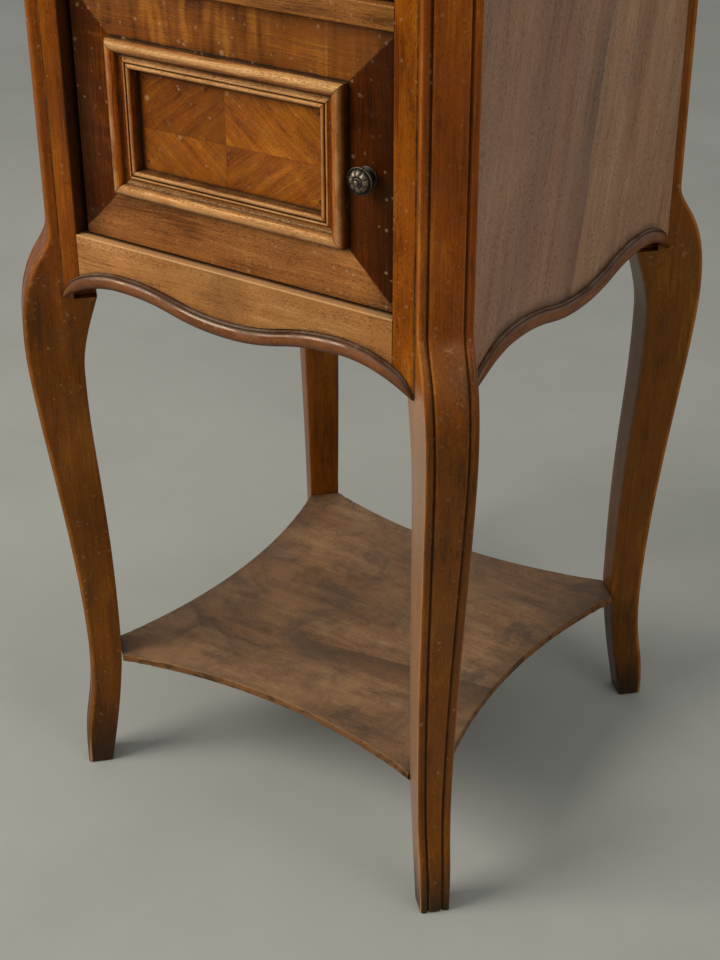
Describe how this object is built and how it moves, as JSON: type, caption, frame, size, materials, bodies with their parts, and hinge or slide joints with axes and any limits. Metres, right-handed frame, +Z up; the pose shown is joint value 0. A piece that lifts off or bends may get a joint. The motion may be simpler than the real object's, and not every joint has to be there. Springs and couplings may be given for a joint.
{
  "type": "nightstand",
  "caption": "Walnut bedside cabinet on curved diagonal legs, with a panelled door, a drawer above it, a low hollow-edged shelf and a stone top.",
  "frame": {"origin": "on the floor under the centre of the plan", "axes": "+Z up, -Y out of the door and drawer fronts, +X to the right seen from the front"},
  "size_m": [0.4164, 0.4164, 0.85],
  "materials": {
    "leg_walnut": "waxed walnut",
    "stile_walnut": "waxed walnut",
    "rail_walnut": "waxed walnut",
    "front_bead_walnut": "glossy waxed walnut",
    "side_bead_walnut": "glossy waxed walnut",
    "side_walnut": "faded waxed walnut",
    "shelf_walnut": "dull worn walnut",
    "door_rail_walnut": "waxed walnut",
    "door_stile_walnut": "waxed walnut",
    "moulding_walnut": "waxed walnut",
    "moulding_upright_walnut": "waxed walnut",
    "veneer_walnut": "waxed walnut veneer",
    "drawer_field_walnut": "waxed walnut veneer",
    "drawer_band_walnut": "waxed walnut veneer",
    "inner_wood": "bare pale wood",
    "back_wood": "bare pale wood",
    "stone": "polished veined stone",
    "bronze": "dark patinated bronze",
    "brass": "satin brass",
    "steel": "plain steel"
  },
  "bodies": {
    "case": {"back_panel": "back_wood", "back_top_rail": "inner_wood", "cupboard_floor": "inner_wood", "divider_rail": "rail_walnut", "door_stop": "inner_wood", "drawer_guides": "inner_wood", "drawer_kickers": "inner_wood", "drawer_stops": "inner_wood", "dust_board": "inner_wood", "frame_pivot_screws": "steel", "front_apron": "rail_walnut", "front_bead": "front_bead_walnut", "front_stile_left": "stile_walnut", "front_stile_right": "stile_walnut", "glue_blocks": "inner_wood", "leg_back_left": "leg_walnut", "leg_back_right": "leg_walnut", "leg_front_left": "leg_walnut", "leg_front_right": "leg_walnut", "lower_shelf": "shelf_walnut", "marble_top": "stone", "pivot_plate_frame_lower": "brass", "pivot_plate_frame_upper": "brass", "pivot_washer": "brass", "shelf_dowels": "inner_wood", "side_bead_left": "side_bead_walnut", "side_bead_right": "side_bead_walnut", "side_panel_left": "side_walnut", "side_panel_right": "side_walnut", "strike_plate": "brass", "strike_screws": "steel", "top_rail": "rail_walnut"},
    "door": {"door_frame_top": "door_rail_walnut", "door_frame_bottom": "door_rail_walnut", "door_frame_left": "door_stile_walnut", "door_frame_right": "door_stile_walnut", "door_moulding_top": "moulding_walnut", "door_moulding_bottom": "moulding_walnut", "door_moulding_left": "moulding_upright_walnut", "door_moulding_right": "moulding_upright_walnut", "door_panel_core": "inner_wood", "door_veneer": "veneer_walnut", "panel_slips": "inner_wood", "door_knob": "bronze", "door_knob_screw": "steel", "pivot_plate_door_lower": "brass", "pivot_plate_door_upper": "brass", "door_pivot_screws": "steel", "catch_barrel": "brass", "catch_spring": "steel"},
    "catch_ball": {"catch_ball": "steel"},
    "drawer": {"drawer_front": "inner_wood", "drawer_bands": "drawer_band_walnut", "drawer_field": "drawer_field_walnut", "drawer_side_left": "inner_wood", "drawer_side_right": "inner_wood", "drawer_back": "inner_wood", "drawer_bottom": "inner_wood", "drawer_knob": "bronze", "drawer_knob_screw": "steel"}
  },
  "joints": [
    {"name": "door_hinge", "type": "hinge", "parent": "case", "child": "door", "pos_m": [-0.1295, -0.169, 0.60725], "axis": [0, 0, -1], "range_deg": [0, 90]},
    {"name": "drawer_slide", "type": "slide", "parent": "case", "child": "drawer", "axis": [0, -1, 0], "range_m": [0, 0.24]},
    {"name": "ball_slide", "type": "slide", "parent": "door", "child": "catch_ball", "axis": [0, 0, -1], "range_m": [0, 0.0009], "stiffness_N_per_m": 1500, "deforming": ["catch_spring"]}
  ]
}
